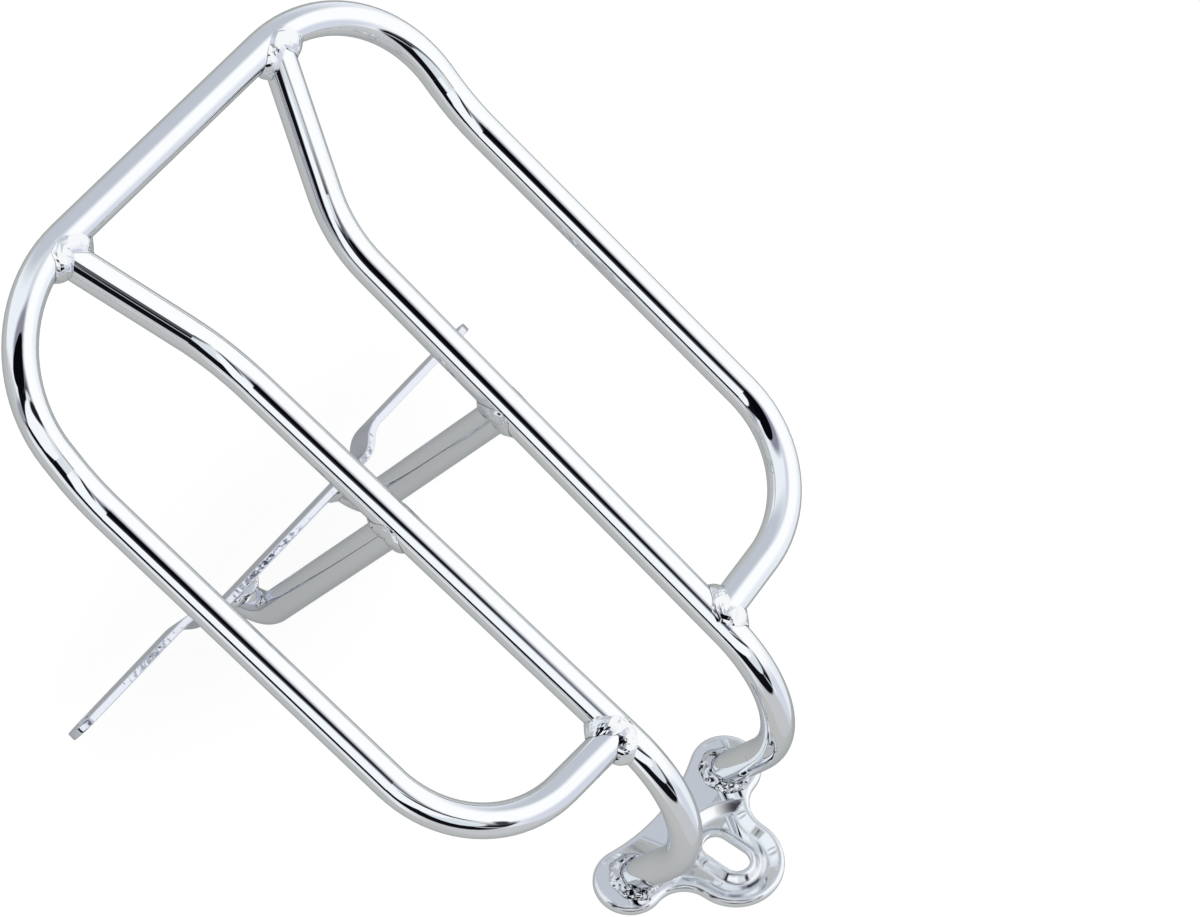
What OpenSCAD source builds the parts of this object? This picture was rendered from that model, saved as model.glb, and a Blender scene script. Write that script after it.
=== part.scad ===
// Luggage rack for the rear of a motorcycle: a bent outer loop, two long rails
// that run down to a slotted front plate, and two posts that carry a rear strap.
// +Y points to the front of the motorcycle, +X to its right and +Z up.
// The origin lies on the rear face of the strap's arms, midway between their holes.

/* [Tubes] */
// Outside diameter of every tube
tube_d = 12.7; // [10:0.1:16]
// Wall of every tube
tube_wall = 1.6; // [1:0.1:2.5]

// Clearance between a coped end and its neighbour's wall
cope_gap = 0.05; // [0.02:0.01:0.2]

/* [Platform] */
// Height of the platform's centre plane over the strap's holes, at the kick line
platform_h = 134.3; // [120:0.5:150]
// Place of the kick line, where the rear of the platform turns up
kick_y = -64.2; // [-75:0.5:-55]
// Upward pitch of the platform towards the front
platform_pitch = 3; // [0:0.5:6]
// Upward kick of the rear part, measured from the platform
kick_angle = 17.8; // [8:0.2:25]
// Length of the kicked part, up to the crossbar
kick_len = 68.8; // [62:0.2:85]
// Bend radius of the tubes at the kick line
kick_r = 68; // [40:1:80]
// Width between the loop's side centres at the kick line
loop_w = 212.7; // [200:0.5:230]
// Width between the loop's side centres at its front corners
loop_front_w = 209; // [200:0.5:230]
// Distance from the kick line to the loop's front corners
loop_front = 187.2; // [170:0.5:200]
// Forward set of the loop's ends from its front corners
loop_end_set = 4.7; // [0:0.1:8]
// Bend radius of the loop's rear corners
rear_corner_r = 52.3; // [40:0.5:58]
// Bend radius of the loop's front corners
front_corner_r = 46.8; // [35:0.5:55]

/* [Rails] */
// Distance from the loop's side to the rail, between centres, along the crossbar
rail_inset = 46.75; // [44:0.25:60]
// Width between the rails at the kick line
rail_mid_w = 66.6; // [55:0.2:80]
// Width between the rails at their legs
rail_front_w = 57.5; // [50:0.2:60]
// Place of the legs, ahead of the strap
leg_y = 181; // [175:0.5:190]
// Bend radius where a rail turns down into its leg
leg_bend_r = 46; // [30:1:50]

/* [Posts and strap] */
// Place of the posts, ahead of the strap's arms
post_y = 21.1; // [20:0.1:30]
// Height of the post's foot over the strap's holes
post_foot_h = 2; // [-1:0.1:2.5]
// Bend radius of the post's foot
post_bend_r = 17; // [13:0.5:22]
// Thickness of the strap
strap_t = 3; // [2:0.1:4]
// Height of the strap's middle
strap_h = 19; // [16:0.5:25]
// Height of the strap's arms at their round ends
strap_end_h = 16; // [13:0.5:16]
// Length of the strap
strap_len = 237; // [225:1:245]
// Forward set of the strap's middle from its arms
strap_joggle = 6.4; // [3:0.1:8]
// Bend radius of the joggle, at mid thickness
joggle_r = 12; // [6:0.5:16]
// Distance from the centre to the middle of a joggle
joggle_x = 50.5; // [48:0.5:60]
// Distance from each end of the strap to the centre of its hole
strap_hole_inset = 9; // [8:0.1:14]
// Diameter of the strap's holes
strap_hole_d = 8.5; // [6:0.1:9]

/* [Front plate] */
// Height of the plate's upper face over the strap's holes, at the legs
plate_h = 70; // [60:0.5:75]
// Rise of the plate towards the front
plate_tilt = 27.5; // [15:0.5:35]
// Thickness of the plate at its rim
plate_t = 4.8; // [4.4:0.1:7]
// Radius of the lobe round each leg
leg_lobe_r = 13.5; // [11:0.1:15]
// Half the distance between the leg lobes
leg_lobe_x = 30.7; // [28:0.1:34]
// Set of the leg lobes behind the legs, along the plate
leg_lobe_set = 1.3; // [0:0.1:4]
// Radius of the slotted lobe
slot_lobe_r = 18.8; // [17.5:0.1:21]
// Distance along the plate from the legs to the slotted lobe
slot_lobe_s = 24.3; // [22:0.1:28]
// Radius of the hollow between a leg lobe and the slotted lobe
waist_r = 12; // [7:0.5:14]
// Radius of the hollow between the leg lobes
rear_waist_r = 77; // [50:1:90]
// Width of the rim round the dished pocket
pocket_rim = 2; // [1.8:0.1:3]
// Inward slope of the pocket's wall, from rim to floor
pocket_slope = 4; // [2:0.1:5]
// Depth of the dished pocket
pocket_depth = 2.6; // [1.5:0.1:3]
// Distance along the plate from the legs to the pocket's curved end
pocket_start = 1.8; // [1:0.1:4]
// Radius of the pocket's curved end
pocket_end_r = 29; // [26:0.5:34]
// Width of the slot
slot_w = 9.9; // [8:0.1:11]
// Length of the slot from end to end
slot_len = 19.1; // [16:0.1:20]
// Distance along the plate from the legs to the slot's centre
slot_s = 20.7; // [19:0.1:23]
// Width of the lip round the slot, and of its slope down to the pocket's floor
lip_w = 1.6; // [1:0.1:2.5]
lip_slope = 2.5; // [1.5:0.1:3]
// Rise of the lip over the plate's upper face
lip_rise = 0.3; // [0:0.1:1]
// Depth of the bevel round the slot in the plate's underside
slot_relief = 2.8; // [1:0.1:3]
// Radius of the plate's rounded edges
edge_r = 1.8; // [1:0.1:2.1]

/* [Welds] */
// Reach of a bead between two tubes along each wall
saddle_leg = 4.4; // [3:0.1:5]
// Reach of a bead on the strap or the plate along each wall
bead_leg = 3.2; // [2.5:0.1:4]
// Height of a bead's crown over the line between its toes
bead_crown = 0.3; // [0:0.1:1]
// Height of a bead's ripples
bead_wave = 0.3; // [0:0.05:0.5]
// Clearance between a bead and the walls that it lies on
bead_gap = 0.12; // [0.08:0.01:0.2]

/* [Hidden] */
$fn = 64;
tube_r = tube_d / 2;
bore_r = tube_r - tube_wall;
// A cut runs this far past the face that it opens
over = 1;
// How much a bend's wall is thinned on each side, and how far it runs inside a straight
bend_thin = 0.02;
bend_lap = 0.3;
// Slope of the kicked part in the row's frame
rear_angle = kick_angle - platform_pitch;
strap_front = strap_joggle + strap_t;
// Width between the rails where they meet the crossbar, and between the strap's holes
rail_rear_w = loop_w - 2 * rail_inset;
strap_hole_span = strap_len - 2 * strap_hole_inset;
// Steps over a rounded edge of the plate
edge_steps = 3;
// Steps round a bead, and its ripples
bead_steps = 48;
bead_waves = 8;
chrome = [0.80, 0.82, 0.85];
weld_chrome = [0.70, 0.72, 0.75];

// Vector helpers
function unit(v) = v / norm(v);
function mix(a, b, t) = a + (b - a) * t;

// A point of the platform, d ahead of the kick line
function on_platform(x, d) =
    [x, kick_y + d * cos(platform_pitch), platform_h + d * sin(platform_pitch)];

// A point of the kicked part, e behind the kick line
function on_kick(x, e) =
    [x, kick_y - e * cos(rear_angle), platform_h + e * sin(rear_angle)];

// The place along the platform that lies over a given y
function platform_d(y) = (y - kick_y) / cos(platform_pitch);

// Half the width between the rails at a distance from the kick line
function rail_x(d) = mix(rail_mid_w, rail_front_w, d / platform_d(leg_y)) / 2;

// Routes of the right side's centre lines: corner points, with a radius at each inner corner
loop_end = loop_front + loop_end_set;
loop_points = [
    on_kick(0, kick_len),
    on_kick(loop_w / 2, kick_len),
    on_platform(loop_w / 2, 0),
    on_platform(loop_front_w / 2, loop_front),
    on_platform(rail_x(loop_end), loop_end)];
loop_radii = [rear_corner_r, kick_r, front_corner_r];

rail_points = [
    on_kick(rail_rear_w / 2, kick_len),
    on_platform(rail_mid_w / 2, 0),
    on_platform(rail_front_w / 2, platform_d(leg_y)),
    [rail_front_w / 2, leg_y, plate_h - leg_lobe_r]];
rail_radii = [kick_r, leg_bend_r];
rail_dir = unit(rail_points[2] - rail_points[1]);

post_top = on_platform(rail_x(platform_d(post_y)), platform_d(post_y));
// Centre of the bend at the post's foot, and its turn where the axis meets the strap
foot_turn = acos((strap_front + post_bend_r - post_y) / post_bend_r);
foot_centre = [post_top[0], post_y - post_bend_r, post_foot_h + post_bend_r * sin(foot_turn)];

// Length taken from each side of a corner by its bend
function setback(pts, radii, i) =
    let (a = unit(pts[i] - pts[i - 1]), b = unit(pts[i + 1] - pts[i]))
    radii[i - 1] * tan(acos(a * b) / 2);

// Where the crossbar's straight length ends, a little inside its bend
bar_end = loop_points[1] - [setback(loop_points, loop_radii, 1) - bend_lap, 0, 0];

// Place a child drawn in a frame of three axes and an origin
module in_frame(ax, ay, az, origin) {
    multmatrix([
        [ax[0], ay[0], az[0], origin[0]],
        [ax[1], ay[1], az[1], origin[1]],
        [ax[2], ay[2], az[2], origin[2]],
        [0, 0, 0, 1]])
        children();
}

// Any direction square to a given one
function square_to(v) = unit(cross(v, abs(v[2]) < 0.9 ? [0, 0, 1] : [1, 0, 0]));

// Straight rod of radius r from p to q
module rod(p, q, r) {
    az = unit(q - p);
    ax = square_to(az);
    in_frame(ax, cross(az, ax), az, p)
        cylinder(r = r, h = norm(q - p));
}

// Straight length of tube from p to q, open at both ends
module straight(p, q) {
    dir = unit(q - p) * over;
    difference() {
        rod(p, q, tube_r);
        rod(p - dir, q + dir, bore_r);
    }
}

// Bend of a tube round the corner b of a, b and c. Its wall is thinned a little
// inside and out, as bending does, and it starts inside the ends of its straights.
module elbow(a, b, c, bend) {
    din = unit(b - a);
    dout = unit(c - b);
    turn = acos(din * dout);
    az = unit(cross(din, dout));
    start = b - din * bend * tan(turn / 2);
    inward = cross(az, din);
    in_frame(-inward, din, az, start + inward * bend)
        rotate_extrude(angle = turn)
            translate([bend, 0])
                difference() {
                    circle(r = tube_r - bend_thin);
                    circle(r = bore_r + bend_thin);
                }
}

// Tube along a route, with its children cut from the two end lengths,
// and the lengths before the one called first left out
module tube(pts, radii, first = 0) {
    last = len(pts) - 1;
    for (i = [first:last - 1]) {
        dir = unit(pts[i + 1] - pts[i]);
        cut0 = i == 0 ? 0 : setback(pts, radii, i) - bend_lap;
        cut1 = i == last - 1 ? 0 : setback(pts, radii, i + 1) - bend_lap;
        if (i == 0 || i == last - 1)
            difference() {
                straight(pts[i] + dir * cut0, pts[i + 1] - dir * cut1);
                children();
            }
        else
            straight(pts[i] + dir * cut0, pts[i + 1] - dir * cut1);
    }
    for (i = [1:last - 1])
        elbow(pts[i - 1], pts[i], pts[i + 1], radii[i - 1]);
}

// A module's child on the right side, or mirrored to the left
module on_side(side) {
    mirror([side < 0 ? 1 : 0, 0, 0])
        children();
}

// Solid bend of radius r round the corner b of a, b and c
module solid_elbow(a, b, c, bend, r) {
    din = unit(b - a);
    turn = acos(din * unit(c - b));
    az = unit(cross(din, c - b));
    inward = cross(az, din);
    in_frame(-inward, din, az, b - din * bend * tan(turn / 2) + inward * bend)
        rotate_extrude(angle = turn)
            translate([bend, 0])
                circle(r = r);
}

// Lengths of neighbours that a tube's end is coped to, with the cope's clearance
module crossbar_stretch() {
    rod(loop_points[0], bar_end, tube_r + cope_gap);
    solid_elbow(loop_points[0], loop_points[1], loop_points[2], rear_corner_r, tube_r + cope_gap - bend_thin);
}
module rail_stretch() {
    rod(rail_points[1] + rail_dir * setback(rail_points, rail_radii, 1),
        rail_points[2] - rail_dir * (setback(rail_points, rail_radii, 2) - bend_lap), tube_r + cope_gap);
}
module rail_turn() {
    solid_elbow(rail_points[1], rail_points[2], rail_points[3], leg_bend_r, tube_r + cope_gap - bend_thin);
}

// Frame of the front plate: x across, y up the slope, z out of its upper face
module on_plate() {
    translate([0, leg_y, plate_h])
        rotate([plate_tilt, 0, 0])
            children();
}

module outer_loop() {
    color(chrome) {
        straight([-bar_end[0], bar_end[1], bar_end[2]], bar_end);
        for (side = [-1, 1])
            on_side(side)
                tube(loop_points, loop_radii, 1) {
                    rail_stretch();
                    rail_turn();
                }
    }
}

// What lies below the plate's upper face, near the legs
module below_plate() {
    on_plate()
        translate([0, 0, -2 * leg_lobe_r])
            cube([3 * rail_front_w, 4 * leg_lobe_r, 4 * leg_lobe_r], center = true);
}

module rail() {
    color(chrome)
        tube(rail_points, rail_radii) {
            crossbar_stretch();
            below_plate();
        }
}
module rail_left() {
    on_side(-1)
        rail();
}
module rail_right() {
    rail();
}

module post() {
    bend_top = [post_top[0], post_y, foot_centre[2]];
    color(chrome) {
        difference() {
            straight(post_top, bend_top - [0, 0, bend_lap]);
            rail_stretch();
        }
        difference() {
            elbow(bend_top, bend_top - [0, 0, post_bend_r], bend_top - [0, post_bend_r, post_bend_r], post_bend_r);
            translate([foot_centre[0] - tube_d, strap_front - 2 * tube_d, -2 * tube_d])
                cube([2 * tube_d, 2 * tube_d, 4 * tube_d]);
        }
    }
}
module post_left() {
    on_side(-1)
        post();
}
module post_right() {
    post();
}

// The joggle's two bends turn by this much
joggle_turn = acos(1 - strap_joggle / (2 * joggle_r));
// Half the joggle's run along the strap
joggle_run = joggle_r * sin(joggle_turn);

// One bend of the strap, swept round a vertical axis at the origin and thinned as a tube's bend is
module strap_bend(from, turn) {
    rotate([0, 0, from])
        rotate_extrude(angle = turn)
            translate([joggle_r - strap_t / 2 + bend_thin, -strap_h])
                square([strap_t - 2 * bend_thin, 2 * strap_h]);
}

// Plan form of half the strap, as a tall band
module half_band() {
    arm_x = joggle_x + joggle_run;
    mid_x = joggle_x - joggle_run;
    mid_t = strap_t / 2;
    translate([mid_x, strap_joggle + mid_t - joggle_r, 0])
        strap_bend(90 - joggle_turn, joggle_turn);
    translate([arm_x, mid_t + joggle_r, 0])
        strap_bend(270 - joggle_turn, joggle_turn);
    // The joggle's straight middle joins the two bends
    translate([joggle_x, strap_joggle / 2 + mid_t, 0])
        rotate([0, 0, -joggle_turn])
            cube([2 * bend_lap, strap_t, 2 * strap_h], center = true);
    translate([arm_x - bend_lap, 0, -strap_h])
        cube([strap_len / 2 - arm_x + bend_lap, strap_t, 2 * strap_h]);
}

// Outline of the strap seen from the front. Its edges end just inside the round ends.
module strap_outline() {
    arm_x = joggle_x + joggle_run;
    end_x = (strap_len - strap_end_h) / 2;
    end_z = strap_end_h / 2 - 0.05;
    for (side = [-1, 1])
        translate([side * end_x, 0])
            circle(d = strap_end_h);
    polygon([
        [-end_x, -end_z], [-arm_x, -strap_h / 2], [arm_x, -strap_h / 2], [end_x, -end_z],
        [end_x, end_z], [arm_x, strap_h / 2], [-arm_x, strap_h / 2], [-end_x, end_z]]);
}

module rear_strap() {
    color(chrome)
        difference() {
            intersection() {
                union() {
                    translate([0, strap_joggle + strap_t / 2, 0])
                        cube([2 * (joggle_x - joggle_run + bend_lap), strap_t, 2 * strap_h], center = true);
                    half_band();
                    mirror([1, 0, 0])
                        half_band();
                }
                translate([0, strap_front + over, 0])
                    rotate([90, 0, 0])
                        linear_extrude(strap_front + 2 * over)
                            strap_outline();
            }
            for (side = [-1, 1])
                translate([side * strap_hole_span / 2, strap_t + over, 0])
                    rotate([90, 0, 0])
                        cylinder(d = strap_hole_d, h = strap_t + 2 * over);
        }
}

// Centres of the plate's lobes and of the hollows between them
leg_lobe = [leg_lobe_x, -leg_lobe_set];
slot_lobe = [0, slot_lobe_s];
function hollow_centre(p, rp, q, rq, r) =
    let (d = norm(q - p), u = (q - p) / d, a = ((rp + r) ^ 2 - (rq + r) ^ 2 + d ^ 2) / (2 * d))
    p + u * a + [-u[1], u[0]] * -sqrt((rp + r) ^ 2 - a ^ 2);
waist_centre = hollow_centre(leg_lobe, leg_lobe_r, slot_lobe, slot_lobe_r, waist_r);
rear_centre = [0, leg_lobe[1] - sqrt((leg_lobe_r + rear_waist_r) ^ 2 - leg_lobe_x ^ 2)];

// Three-lobed solid from z to z + h, its outline drawn in by in0 below and in1 above
module lobed(z, h, in0, in1) {
    translate([0, 0, z]) {
        for (side = [-1, 1])
            translate([side * leg_lobe[0], leg_lobe[1]])
                cylinder(h = h, r1 = leg_lobe_r - in0, r2 = leg_lobe_r - in1);
        translate(slot_lobe)
            cylinder(h = h, r1 = slot_lobe_r - in0, r2 = slot_lobe_r - in1);
        difference() {
            linear_extrude(h)
                polygon([
                    [-leg_lobe[0], leg_lobe[1]], rear_centre, leg_lobe,
                    waist_centre, slot_lobe, [-waist_centre[0], waist_centre[1]]]);
            for (side = [-1, 1])
                translate([side * waist_centre[0], waist_centre[1], 0])
                    cylinder(h = h, r1 = waist_r + in0, r2 = waist_r + in1);
            translate(rear_centre)
                cylinder(h = h, r1 = rear_waist_r + in0, r2 = rear_waist_r + in1);
        }
    }
}

// Upper rounded edge of the plate, down from its upper face
module edge() {
    for (i = [1:edge_steps]) {
        low = 90 * (i - 1) / edge_steps;
        high = 90 * i / edge_steps;
        lobed(edge_r * (sin(low) - 1), edge_r * (sin(high) - sin(low)),
            edge_r * (1 - cos(low)), edge_r * (1 - cos(high)));
    }
}

// Slot with round ends, larger all round by grow0 at its foot z and by grow1 at z + h
module slot(z, h, grow0, grow1) {
    half = (slot_len - slot_w) / 2;
    r0 = slot_w / 2 + grow0;
    r1 = slot_w / 2 + grow1;
    translate([0, slot_s, z]) {
        for (end = [-1, 1])
            translate([0, end * half, 0])
                cylinder(h = h, r1 = r0, r2 = r1);
        translate([0, half, 0])
            rotate([90, 0, 0])
                linear_extrude(2 * half)
                    polygon([[-r0, 0], [r0, 0], [r1, h], [-r1, h]]);
    }
}

// Dished pocket, from its floor up to the plate's upper face
module pocket() {
    intersection() {
        lobed(-pocket_depth, pocket_depth, pocket_rim + pocket_slope, pocket_rim);
        translate([0, pocket_start + pocket_end_r, -pocket_depth])
            cylinder(h = pocket_depth, r1 = pocket_end_r - pocket_slope, r2 = pocket_end_r);
    }
}

module front_plate() {
    color(chrome)
        on_plate()
            difference() {
                union() {
                    difference() {
                        union() {
                            edge();
                            lobed(edge_r - plate_t, plate_t - 2 * edge_r, 0, 0);
                            translate([0, 0, -plate_t])
                                mirror([0, 0, 1])
                                    edge();
                        }
                        pocket();
                    }
                    slot(-pocket_depth, pocket_depth + lip_rise, lip_w + lip_slope, lip_w);
                }
                slot(-plate_t - over, plate_t + lip_rise + 2 * over, 0, 0);
                slot(-plate_t - over, slot_relief + over, slot_relief + over, 0);
            }
}

// Size of a bead's ripple at an angle round it
function ripple(phi) = bead_wave * sin(bead_waves * phi);

// One cross-section of a bead: its toe and middle on the branch (tb, mb), its root, its
// toe on the neighbour (tn) and points from there to the root (seat), and both outward normals
function bead_ring(tb, mb, root, seat, tn, nb, nn, wave) =
    let (
        flat = max(0, nb * nn),
        peak = (tb + tn) / 2 + unit(nb + nn) * (bead_crown * (1 + 2 * flat) + wave),
        pull = 2 * peak - (tb + tn) / 2)
    [tb, for (t = [0.2, 0.4, 0.6, 0.8]) (1 - t) ^ 2 * tb + 2 * t * (1 - t) * pull + t ^ 2 * tn,
        tn, each seat, root, mb];

// Closed mesh through rings of points
module ring_mesh(rings) {
    n = len(rings);
    m = len(rings[0]);
    polyhedron(
        points = [for (ring = rings) each ring],
        faces = [for (i = [0:n - 1], k = [0:m - 1])
            let (
                a = i * m + k,
                b = i * m + (k + 1) % m,
                c = ((i + 1) % n) * m + k,
                d = ((i + 1) % n) * m + (k + 1) % m)
            each [[a, c, b], [b, c, d]]]);
}

// Centre lines of the round neighbours: functions from a point q to the nearest point of the line
function straight_line(o, m) = function (q) o + ((q - o) * m) * m;
corner_side = unit(loop_points[2] - loop_points[1]);
corner_centre = loop_points[1] + (corner_side - [1, 0, 0]) * rear_corner_r;
function crossbar_line() = function (q)
    let (
        from = q - corner_centre,
        flat = (from * corner_side) * corner_side + [from[0], 0, 0])
    from[0] < 0 ? [q[0], loop_points[0][1], loop_points[0][2]] : corner_centre + unit(flat) * rear_corner_r;

// Point nearest to q on the wall round a centre line, with the seat clearance
function on_wall(q, line) = let (foot = line(q)) foot + unit(q - foot) * (tube_r + bead_gap);

// Point nearest to q on the plane through o with normal n, with the seat clearance
function on_face(q, o, n) = q + (bead_gap - (q - o) * n) * n;

// Where a branch along b leaves a round neighbour along m, both through o, seen at phi round b.
// The point is sought along the branch's wall, until it lies on the neighbour's wall.
function branch_dir(b, m, phi) =
    let (e1 = unit(m - (m * b) * b))
    cos(phi) * e1 + sin(phi) * cross(b, e1);
function wall_crossing(p, b, line, lo, hi, n = 24) =
    let (mid = (lo + hi) / 2, q = p + mid * b)
    n == 0 ? q :
        norm(q - line(q)) < tube_r ?
            wall_crossing(p, b, line, mid, hi, n - 1) : wall_crossing(p, b, line, lo, mid, n - 1);
function saddle_root(o, b, m, line, phi) =
    let (
        p = o + tube_r * branch_dir(b, m, phi),
        nearest = (line(p) - p) * b / (1 - (b * m) ^ 2))
    wall_crossing(p, b, line, nearest, 3 * tube_r);

// Bead between a branch along b and a round neighbour along m, both through o
module saddle_bead(o, b, m, line) {
    branch = straight_line(o, b);
    ring_mesh([for (i = [0:bead_steps - 1])
        let (
            phi = i * 360 / bead_steps,
            nb = branch_dir(b, m, phi),
            p = saddle_root(o, b, m, line, phi),
            nn = unit(p - line(p)),
            along = unit(saddle_root(o, b, m, line, phi + 9) - saddle_root(o, b, m, line, phi - 9)),
            side = unit(cross(nn, along)),
            away = side * (nb - b) < 0 ? -side : side,
            leg = saddle_leg + ripple(phi))
        bead_ring(
            on_wall(p + leg * b, branch),
            on_wall(p + leg / 2 * b, branch),
            on_wall(on_wall(on_wall(p, branch), line), branch),
            [for (t = [2, 1]) on_wall(p + leg * t / 3 * away, line)],
            on_wall(p + leg * away, line),
            nb, nn, ripple(phi + 18))]);
}

// Bead between a branch along b and a flat face with normal n
module face_bead(o, b, n) {
    branch = straight_line(o, b);
    e1 = square_to(b);
    ring_mesh([for (i = [0:bead_steps - 1])
        let (
            phi = i * 360 / bead_steps,
            nb = cos(phi) * e1 + sin(phi) * cross(b, e1),
            p = o + tube_r * (nb - (nb * n) / (b * n) * b),
            away = unit(nb - (nb * n) * n),
            leg = bead_leg + ripple(phi))
        bead_ring(
            on_wall(p + leg * b, branch),
            on_wall(p + leg / 2 * b, branch),
            on_face(on_wall(p, branch) + bead_gap * b, o, n),
            [on_face(p + leg / 2 * away, o, n)],
            on_face(p + leg * away, o, n),
            nb, n, ripple(phi + 18))]);
}

// Point on the wall of the bend at the post's foot: phi round the tube, and theta along the bend
function foot_wall(phi, theta, r) =
    foot_centre + (post_bend_r + r * cos(phi)) * [0, cos(theta), -sin(theta)] + [r * sin(phi), 0, 0];

// Turn at which that wall meets a plane y
function foot_theta(phi, y, r) = acos((y - foot_centre[1]) / (post_bend_r + r * cos(phi)));

// Bead between the post's foot and the strap
module foot_bead() {
    seat_r = tube_r + bead_gap;
    seat_y = strap_front + bead_gap;
    ring_mesh([for (i = [0:bead_steps - 1])
        let (
            phi = i * 360 / bead_steps,
            theta = foot_theta(phi, seat_y, seat_r),
            leg = bead_leg + ripple(phi),
            turn = leg / (post_bend_r + seat_r * cos(phi)) * 180 / PI,
            p = foot_wall(phi, theta, seat_r),
            nb = unit(p - foot_wall(phi, theta, 0)),
            away = unit([nb[0], 0, nb[2]]),
            low = max(-strap_h / 2 + bead_gap, (p + leg * away)[2]),
            toe_z = min(strap_h / 2 - bead_gap, low))
        bead_ring(
            foot_wall(phi, theta - turn, seat_r),
            foot_wall(phi, theta - turn / 2, seat_r),
            p,
            [(p + [(p + leg * away)[0], seat_y, toe_z]) / 2],
            [(p + leg * away)[0], seat_y, toe_z],
            nb, [0, 1, 0], ripple(phi + 18))]);
}

rail_line = straight_line(rail_points[1], rail_dir);

module weld_crossbar() {
    color(weld_chrome)
        saddle_bead(rail_points[0], unit(rail_points[1] - rail_points[0]), [1, 0, 0], crossbar_line());
}
module weld_loop() {
    color(weld_chrome)
        saddle_bead(loop_points[4], unit(loop_points[3] - loop_points[4]), rail_dir, rail_line);
}
module weld_post_top() {
    color(weld_chrome)
        saddle_bead(post_top, [0, 0, -1], rail_dir, rail_line);
}
module weld_post_foot() {
    color(weld_chrome)
        foot_bead();
}
module weld_leg() {
    color(weld_chrome)
        face_bead([rail_points[3][0], leg_y, plate_h], [0, 0, 1], [0, -sin(plate_tilt), cos(plate_tilt)]);
}
module weld_crossbar_left() {
    on_side(-1)
        weld_crossbar();
}
module weld_crossbar_right() {
    weld_crossbar();
}
module weld_loop_left() {
    on_side(-1)
        weld_loop();
}
module weld_loop_right() {
    weld_loop();
}
module weld_post_top_left() {
    on_side(-1)
        weld_post_top();
}
module weld_post_top_right() {
    weld_post_top();
}
module weld_post_foot_left() {
    on_side(-1)
        weld_post_foot();
}
module weld_post_foot_right() {
    weld_post_foot();
}
module weld_leg_left() {
    on_side(-1)
        weld_leg();
}
module weld_leg_right() {
    weld_leg();
}

outer_loop();
rail_left();
rail_right();
post_left();
post_right();
rear_strap();
front_plate();
weld_crossbar_left();
weld_crossbar_right();
weld_loop_left();
weld_loop_right();
weld_post_top_left();
weld_post_top_right();
weld_post_foot_left();
weld_post_foot_right();
weld_leg_left();
weld_leg_right();
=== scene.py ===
# %% [markdown]
# # A chromed luggage rack for a motorcycle
#
# The rack is bent from steel tube, welded, polished and chrome plated. The packed
# model already holds every tube, plate and weld, so this lesson is about the looks:
# a mirror finish has almost no colour of its own, and what it shows is the studio
# round it. We load the model first, and keep its box.

import math

import bmesh
import bpy
from mathutils import Euler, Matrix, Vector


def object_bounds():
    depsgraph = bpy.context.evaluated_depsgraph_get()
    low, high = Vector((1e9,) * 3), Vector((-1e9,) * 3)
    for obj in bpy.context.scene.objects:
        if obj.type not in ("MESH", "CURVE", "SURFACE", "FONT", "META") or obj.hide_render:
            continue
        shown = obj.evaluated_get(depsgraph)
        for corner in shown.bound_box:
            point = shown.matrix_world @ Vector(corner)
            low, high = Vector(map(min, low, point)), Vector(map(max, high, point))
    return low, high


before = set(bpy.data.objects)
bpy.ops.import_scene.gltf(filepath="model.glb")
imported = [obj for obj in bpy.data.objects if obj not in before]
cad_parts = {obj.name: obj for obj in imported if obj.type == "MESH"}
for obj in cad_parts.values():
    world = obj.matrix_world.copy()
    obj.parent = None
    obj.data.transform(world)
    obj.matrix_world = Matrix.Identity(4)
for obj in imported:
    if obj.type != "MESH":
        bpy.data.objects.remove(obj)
cad_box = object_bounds()
print("nodes:", sorted(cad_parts))

# %% [markdown]
# ## Colours and nodes
#
# Colours are written as sRGB hex values, the way a colour picker shows them, and
# one function turns them to the linear values that shaders compute with. Another
# small function adds a node, sets its values and makes its links in one call.

# %% Helpers for colours and nodes
def linear(hex_value):
    """Linear RGBA of an sRGB hex colour such as "C8CCD0"."""
    channels = [int(hex_value[i:i + 2], 16) / 255 for i in (0, 2, 4)]
    return [c / 12.92 if c <= 0.04045 else ((c + 0.055) / 1.055) ** 2.4 for c in channels] + [1.0]


def add_node(tree, kind, settings=None, inputs=None):
    """Adds a node. settings are its properties, and inputs its values or the sockets to link from."""
    new = tree.nodes.new(kind)
    for name, value in (settings or {}).items():
        setattr(new, name, value)
    for key, value in (inputs or {}).items():
        if isinstance(value, bpy.types.NodeSocket):
            tree.links.new(value, new.inputs[key])
        else:
            new.inputs[key].default_value = value
    return new


def fresh_tree(owner):
    """The empty node tree of a material or a world."""
    owner.use_nodes = True
    owner.node_tree.nodes.clear()
    return owner.node_tree


print("the shade of bright chrome in linear values:", [round(c, 3) for c in linear("F3F5F7")])

# %% [markdown]
# ## The chrome
#
# Decorative chrome is a layer under a micrometre thick over bright nickel. It
# copies the polish below it, so its roughness is close to nothing, but it is
# never perfect: the polishing wheel leaves a slight waviness a few centimetres
# long, and handling leaves a faint haze. Two noise patterns on Object coordinates
# give these, with their scales worked out from those lengths. The Specular Tint
# of the metal is set a light grey, so the chrome reflects less at a glancing
# angle: this is painted shade, a soft grey line along both sides of a tube that
# stands in for the grey table the tube's sides reflect.
#
# One function makes all the finishes, because they are the same plating over
# steel that was polished more or less well. Its further options are the lumps of
# a weld or a sheared edge, dark pits, and edges rounded by the wheel, which the
# Bevel node shades smooth without a change to the mesh.

# %% One function for the chrome finishes
WAVE_LENGTH = 0.018
WAVE_HEIGHT = 0.00002
HAZE_LENGTH = 0.035
HAZE_RANGE = (0.35, 0.7)
PIT_RANGE = (0.56, 0.64)
# Painted shade: a light grey Specular Tint that dims the glancing reflection, for a grey line along the
# sides of the tubes.
PAINTED_EDGE_SHADE_TINT = "DADCDF"
BEVEL_SAMPLES = 8


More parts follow.
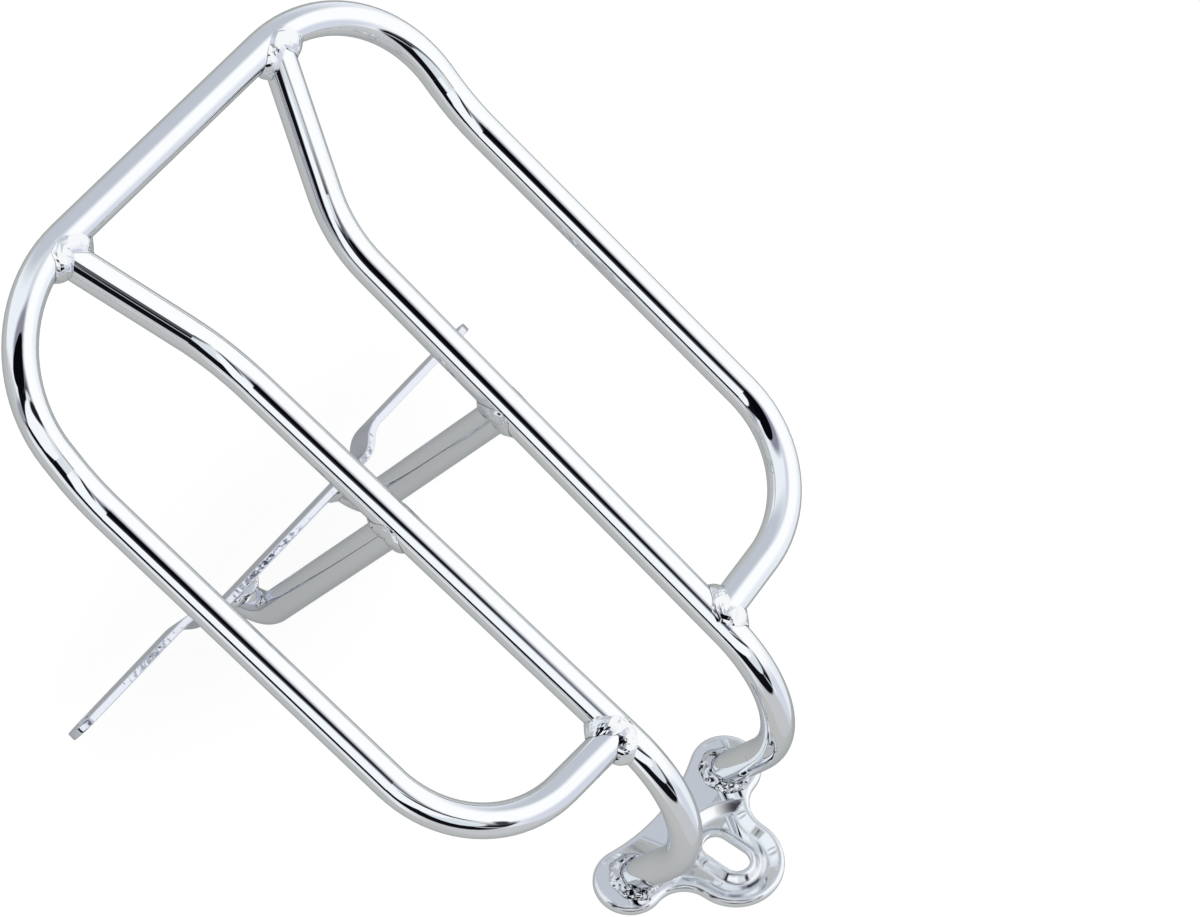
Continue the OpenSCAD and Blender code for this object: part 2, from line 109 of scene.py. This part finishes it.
def chrome_material(name, base, roughness,
                    lump_length=None, lump_height=0.0, pits=None, rounding=None):
    """A chrome finish with a base colour and a lowest and highest roughness. The lumps have a
    length and a height, pits is the colour of the pits, and rounding the radius of the edges."""
    material = bpy.data.materials.new(name)
    tree = fresh_tree(material)
    place = add_node(tree, "ShaderNodeTexCoord").outputs["Object"]
    haze = add_node(tree, "ShaderNodeTexNoise", inputs={
        "Vector": place, "Scale": 1 / HAZE_LENGTH, "Detail": 3.0, "Roughness": 0.6})
    rough = add_node(tree, "ShaderNodeMapRange", inputs={
        "Value": haze.outputs["Fac"], "From Min": HAZE_RANGE[0], "From Max": HAZE_RANGE[1],
        "To Min": roughness[0], "To Max": roughness[1]})
    waves = add_node(tree, "ShaderNodeTexNoise", inputs={
        "Vector": place, "Scale": 1 / WAVE_LENGTH, "Detail": 1.0})
    bump = add_node(tree, "ShaderNodeBump", inputs={
        "Height": waves.outputs["Fac"], "Strength": 1.0, "Distance": WAVE_HEIGHT})
    if rounding:
        soft_edges = add_node(
            tree, "ShaderNodeBevel", {"samples": BEVEL_SAMPLES}, {"Radius": rounding})
        tree.links.new(soft_edges.outputs["Normal"], bump.inputs["Normal"])
    if lump_length:
        lumps = add_node(tree, "ShaderNodeTexNoise", inputs={
            "Vector": place, "Scale": 1 / lump_length, "Detail": 1.0, "Roughness": 0.4})
        bump = add_node(tree, "ShaderNodeBump", inputs={
            "Height": lumps.outputs["Fac"], "Strength": 1.0, "Distance": lump_height,
            "Normal": bump.outputs["Normal"]})
    colour = linear(base)
    if pits:
        grain = add_node(tree, "ShaderNodeTexNoise", inputs={
            "Vector": place, "Scale": 2 / lump_length, "Detail": 2.0, "Roughness": 0.5})
        pitted = add_node(tree, "ShaderNodeMapRange", {"interpolation_type": "SMOOTHSTEP"}, {
            "Value": grain.outputs["Fac"], "From Min": PIT_RANGE[0], "From Max": PIT_RANGE[1]})
        colour = add_node(tree, "ShaderNodeMix", {"data_type": "RGBA"}, {
            "Factor": pitted.outputs["Result"], "A": linear(base), "B": linear(pits)}
        ).outputs["Result"]
    # The Specular Tint paints a grey shade into the reflection at a glancing angle.
    shader = add_node(tree, "ShaderNodeBsdfPrincipled", inputs={
        "Base Color": colour, "Metallic": 1.0, "Specular Tint": linear(PAINTED_EDGE_SHADE_TINT),
        "Roughness": rough.outputs["Result"], "Normal": bump.outputs["Normal"]})
    add_node(tree, "ShaderNodeOutputMaterial", inputs={"Surface": shader.outputs["BSDF"]})
    return material


print("haze scale", round(1 / HAZE_LENGTH, 1), "and wave scale", round(1 / WAVE_LENGTH, 1), "per metre")

# %% [markdown]
# The tubes get the best polish. The front plate is forged and then polished, so
# its steps and rims are worn round: a radius of 2.2 mm carries the light over the
# narrow faces that the model has there.

# %% Chrome over the tubes and the front plate
plate_chrome = chrome_material("polished_chrome_plate", "F3F5F7", roughness=(0.008, 0.03))
pressed_chrome = chrome_material(
    "chrome_over_pressed_plate", "F3F5F7", roughness=(0.01, 0.04), rounding=0.0022)
print("materials:", plate_chrome.name, "and", pressed_chrome.name)

# %% [markdown]
# The cross strap is sheared from flat bar and gets less polish than the tubes. Its
# edges are a little rounded, and under the chrome there is still a fine grain,
# which breaks up what the edges reflect. The real grain is finer than a pixel, so
# it is drawn 2 mm long to show.

# %% Chrome over the sheared strap
strap_chrome = chrome_material(
    "chrome_over_sheared_bar", "E3E6EF", roughness=(0.05, 0.14),
    lump_length=0.0020, lump_height=0.0001, rounding=0.0009)
print("material:", strap_chrome.name)

# %% [markdown]
# The weld beads are chromed too, but nobody can polish between their ripples, so
# they are a little duller, with lumps a few millimetres long. The beads where the
# tubes join each other are smooth, and those at the feet of the rails, on the
# front plate, are coarser, with small dark pits that the plating doesn't fill.

# %% Chrome over the weld beads
weld_chrome = chrome_material(
    "chrome_over_weld_bead", "EEF0F2", roughness=(0.02, 0.05), lump_length=0.0042, lump_height=0.0006)
leg_weld_chrome = chrome_material(
    "chrome_over_coarse_weld", "E4E6EA", roughness=(0.02, 0.08),
    lump_length=0.0034, lump_height=0.0016, pits="303136")
print("materials:", weld_chrome.name, "and", leg_weld_chrome.name)

# %% [markdown]
# Each node keeps its own mesh and takes one of the five finishes by its name.

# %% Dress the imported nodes
OWN_FINISH = {"front_plate": pressed_chrome, "rear_strap": strap_chrome}
for node_name, node_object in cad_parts.items():
    finish = OWN_FINISH.get(node_name, plate_chrome)
    if node_name.startswith("weld_"):
        finish = leg_weld_chrome if node_name.startswith("weld_leg") else weld_chrome
    node_object.data.materials.clear()
    node_object.data.materials.append(finish)
print("dressed nodes:", len(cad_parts))

# %% [markdown]
# ## The camera
#
# The photograph was taken from high over the rack's right side with a long lens,
# which keeps parallel tubes nearly parallel. A lens of 135 mm on a 36 mm sensor
# at 1.7 m gives the same perspective.

# %% Camera
LENS_MM = 135
SENSOR_MM = 36
FARTHEST_VIEW = 20
CAMERA_PLACE = (0.737094, -0.125720, 1.538411)
CAMERA_TURN_DEGREES = (17.1173, -24.8106, 130.4939)

camera_data = bpy.data.cameras.new("camera")
camera_data.lens = LENS_MM
camera_data.sensor_width = SENSOR_MM
camera_data.clip_end = FARTHEST_VIEW
camera = bpy.data.objects.new("camera", camera_data)
camera.location = CAMERA_PLACE
camera.rotation_euler = Euler([math.radians(angle) for angle in CAMERA_TURN_DEGREES])
bpy.context.scene.collection.objects.link(camera)
bpy.context.scene.camera = camera
print("camera distance:", round(camera.location.length, 3), "m")

# %% [markdown]
# ## The studio
#
# Chrome is lit by what it reflects. Product photographers hang large white sheets
# round it, and the dark gaps between the sheets draw the black lines that tell
# the eye it is chrome. Here the world holds those sheets and gaps. A direction is
# turned into the place on a mirror ball, seen from the camera, where it would
# show, because on such a ball the whole studio is one round picture, and each
# sheet or gap is a soft shape at a place that can be read off it. The ball's
# normal at that place points halfway between the direction and the way back to
# the camera, so its parts to the camera's right and up are the place.

# %% Helpers for the studio
def world_mirror_ball(tree):
    """Socket of a direction's place on the mirror ball: across and up, from -1 to 1."""
    turn = camera.rotation_euler.to_matrix()
    right, up, back = [tuple(turn.col[i]) for i in range(3)]
    ray = add_node(tree, "ShaderNodeTexCoord").outputs["Generated"]
    halfway = add_node(tree, "ShaderNodeVectorMath", {"operation": "ADD"}, {0: ray, 1: back})
    normal = add_node(tree, "ShaderNodeVectorMath", {"operation": "NORMALIZE"}, {
        0: halfway.outputs["Vector"]})
    across, upward = [
        add_node(tree, "ShaderNodeVectorMath", {"operation": "DOT_PRODUCT"}, {
            0: normal.outputs["Vector"], 1: axis})
        for axis in (right, up)]
    place = add_node(tree, "ShaderNodeCombineXYZ", inputs={
        "X": across.outputs["Value"], "Y": upward.outputs["Value"]})
    return place.outputs["Vector"]


def soft_ellipse(tree, place, centre, radii, turn, soft):
    """A socket that is 1 inside an ellipse on the mirror ball and 0 outside, with a soft rim."""
    mapped = add_node(tree, "ShaderNodeMapping", {"vector_type": "TEXTURE"}, {
        "Vector": place, "Location": (*centre, 0), "Rotation": (0, 0, math.radians(turn)),
        "Scale": (*radii, 1)})
    reach = add_node(tree, "ShaderNodeVectorMath", {"operation": "LENGTH"}, {0: mapped.outputs["Vector"]})
    mask = add_node(tree, "ShaderNodeMapRange", {"interpolation_type": "SMOOTHSTEP"}, {
        "Value": reach.outputs["Value"], "From Min": 1 - soft, "From Max": 1 + soft,
        "To Min": 1.0, "To Max": 0.0})
    return mask.outputs["Result"]


print("way back to the camera:", [round(v, 3) for v in camera.rotation_euler.to_matrix().col[2]])

# %% [markdown]
# Each row below is one shape: its colour, and its centre, half sizes, turn in
# degrees and softness on the mirror ball. They are painted in this order, so a
# later one covers an earlier one. The sharp dark shapes give the black lines, and
# the wide soft ones the shading of the tubes.

# %% The shapes of the studio
STUDIO_SHADE = "EDF1F6"
STUDIO = [
    # The grey wall above the sheets, a fold in them, and the table's far end below
    ("BFC4CD", (-0.12, 0.62), (0.55, 0.22), -8, 0.45),
    ("CFD3DD", (0.20, 0.30), (0.14, 0.10), 0, 0.50),
    ("C3C4C6", (0.40, -0.66), (0.60, 0.26), 0, 0.25),
    ("C6C8CC", (-0.72, -0.36), (0.38, 0.45), 30, 0.15),
    ("D3D7E2", (0.62, -0.28), (0.15, 0.22), 15, 0.40),
    ("9496A2", (-0.42, -0.25), (0.14, 0.07), 15, 0.40),
    ("E4E8EB", (-0.37, -0.45), (0.16, 0.05), -30, 0.30),
    # The dark room round the lower sheet, and the sheet itself
    ("0E0E13", (0.06, -0.23), (0.40, 0.31), 5, 0.04),
    ("D9E0E6", (0.16, -0.19), (0.20, 0.17), 5, 0.04),
    ("F6F9FB", (-0.03, -0.22), (0.31, 0.115), 22, 0.05),
    ("0A0A0F", (-0.255, -0.367), (0.18, 0.050), -22, 0.05),
    ("B4B6BE", (0.345, -0.345), (0.07, 0.022), -25, 0.35),
    # The camera on its stand, with a softer shade above it
    ("8A8A99", (-0.02, 0.09), (0.30, 0.13), 10, 0.25),
    ("07070C", (-0.10, 0.022), (0.29, 0.10), 14, 0.04),
    # The main white sheet, and the dark gap below it
    ("FFFFFF", (0.50, 0.28), (0.26, 0.42), -15, 0.35),
    ("1D1D24", (0.22, -0.055), (0.14, 0.028), 15, 0.25),
    ("3A3A42", (0.41, -0.14), (0.02, 0.12), 5, 0.40),
]
print("shapes:", len(STUDIO))

# %% [markdown]
# A glossy ray, which is what the chrome sends out, sees the studio. Camera and
# transmission rays see a plain white backdrop, at a strength of 1. All other rays
# find a plain pale light, so that a dull colour would render as it is written.
# The sheets are a little brighter than the backdrop, to make up for what the
# chrome swallows.

# %% World
PLAIN_LIGHT = "F2F2F2"
WHITE = "FFFFFF"
SHEET_GAIN = 0.08

world = bpy.data.worlds.new("studio")
bpy.context.scene.world = world
tree = fresh_tree(world)
place = world_mirror_ball(tree)
view = linear(STUDIO_SHADE)
for colour, centre, radii, turn, soft in STUDIO:
    view = add_node(tree, "ShaderNodeMix", {"data_type": "RGBA"}, {
        "Factor": soft_ellipse(tree, place, centre, radii, turn, soft),
        "A": view, "B": linear(colour)}).outputs["Result"]
light_path = add_node(tree, "ShaderNodeLightPath")
glossy = add_node(tree, "ShaderNodeMix", {"data_type": "RGBA"}, {
    "Factor": light_path.outputs["Is Glossy Ray"], "A": linear(PLAIN_LIGHT), "B": view})
seen_directly = add_node(tree, "ShaderNodeMath", {"operation": "MAXIMUM"}, {
    0: light_path.outputs["Is Camera Ray"], 1: light_path.outputs["Is Transmission Ray"]})
seen = add_node(tree, "ShaderNodeMix", {"data_type": "RGBA"}, {
    "Factor": seen_directly.outputs["Value"], "A": glossy.outputs["Result"], "B": linear(WHITE)})
strength = add_node(tree, "ShaderNodeMath", {"operation": "MULTIPLY_ADD"}, {
    0: light_path.outputs["Is Glossy Ray"], 1: SHEET_GAIN, 2: 1.0})
background = add_node(tree, "ShaderNodeBackground", inputs={
    "Color": seen.outputs["Result"], "Strength": strength.outputs["Value"]})
add_node(tree, "ShaderNodeOutputWorld", inputs={"Surface": background.outputs["Background"]})
print("world nodes:", len(tree.nodes))

# %% [markdown]
# The floor is a plain pale sheet. The photograph's ground is pure white, so for a
# camera ray the sheet's own colour is lifted to white by an emission, and what is
# left of its shade is the rack's soft shadow. The chrome sees the same sheet with
# a smaller lift, because in the photograph the tubes keep a grey edge against the
# white. The sheet is clear from below, so that the rack's underside can be seen.

# %% Floor
FLOOR_HALF = 0.55
FLOOR_DROP = 0.012

floor_mesh = bpy.data.meshes.new("floor")
bm = bmesh.new()
bmesh.ops.create_grid(bm, x_segments=1, y_segments=1, size=FLOOR_HALF)
bmesh.ops.translate(bm, verts=bm.verts, vec=(0, 0, cad_box[0][2] - FLOOR_DROP))
bm.to_mesh(floor_mesh)
bm.free()
floor = bpy.data.objects.new("floor", floor_mesh)
bpy.context.scene.collection.objects.link(floor)
print("floor at", round(cad_box[0][2] - FLOOR_DROP, 4), "m")

# %% Floor material
SHEET_SHADE = "A9AAA8"
LIFT_TO_CAMERA = 0.69
LIFT_IN_CHROME = 0.19

floor_material = bpy.data.materials.new("pale_floor_sheet")
tree = fresh_tree(floor_material)
light_path = add_node(tree, "ShaderNodeLightPath")
sheet = add_node(tree, "ShaderNodeBsdfDiffuse", inputs={"Color": linear(SHEET_SHADE)})
seen_directly = add_node(tree, "ShaderNodeMath", {"operation": "MAXIMUM"}, {
    0: light_path.outputs["Is Camera Ray"], 1: light_path.outputs["Is Transmission Ray"]})
in_chrome = add_node(tree, "ShaderNodeMath", {"operation": "MULTIPLY"}, {
    0: light_path.outputs["Is Glossy Ray"], 1: LIFT_IN_CHROME})
lift = add_node(tree, "ShaderNodeMath", {"operation": "MULTIPLY_ADD"}, {
    0: seen_directly.outputs["Value"], 1: LIFT_TO_CAMERA, 2: in_chrome.outputs["Value"]})
white = add_node(tree, "ShaderNodeEmission", inputs={
    "Color": linear(WHITE), "Strength": lift.outputs["Value"]})
lifted = add_node(tree, "ShaderNodeAddShader", inputs={
    0: sheet.outputs["BSDF"], 1: white.outputs["Emission"]})
clear = add_node(tree, "ShaderNodeBsdfTransparent")
side = add_node(tree, "ShaderNodeNewGeometry")
shown = add_node(tree, "ShaderNodeMixShader", inputs={
    0: side.outputs["Backfacing"], 1: lifted.outputs["Shader"], 2: clear.outputs["BSDF"]})
add_node(tree, "ShaderNodeOutputMaterial", inputs={"Surface": shown.outputs["Shader"]})
floor_mesh.materials.append(floor_material)
print("floor material:", floor_material.name)

# %% [markdown]
# ## Finish
#
# The colours are shown as they are, with the Standard view. The box of the
# imported model is printed.

# %% View settings and the model's box
bpy.context.scene.view_settings.view_transform = "Standard"
print("model box:", [[round(v, 4) for v in c] for c in cad_box])
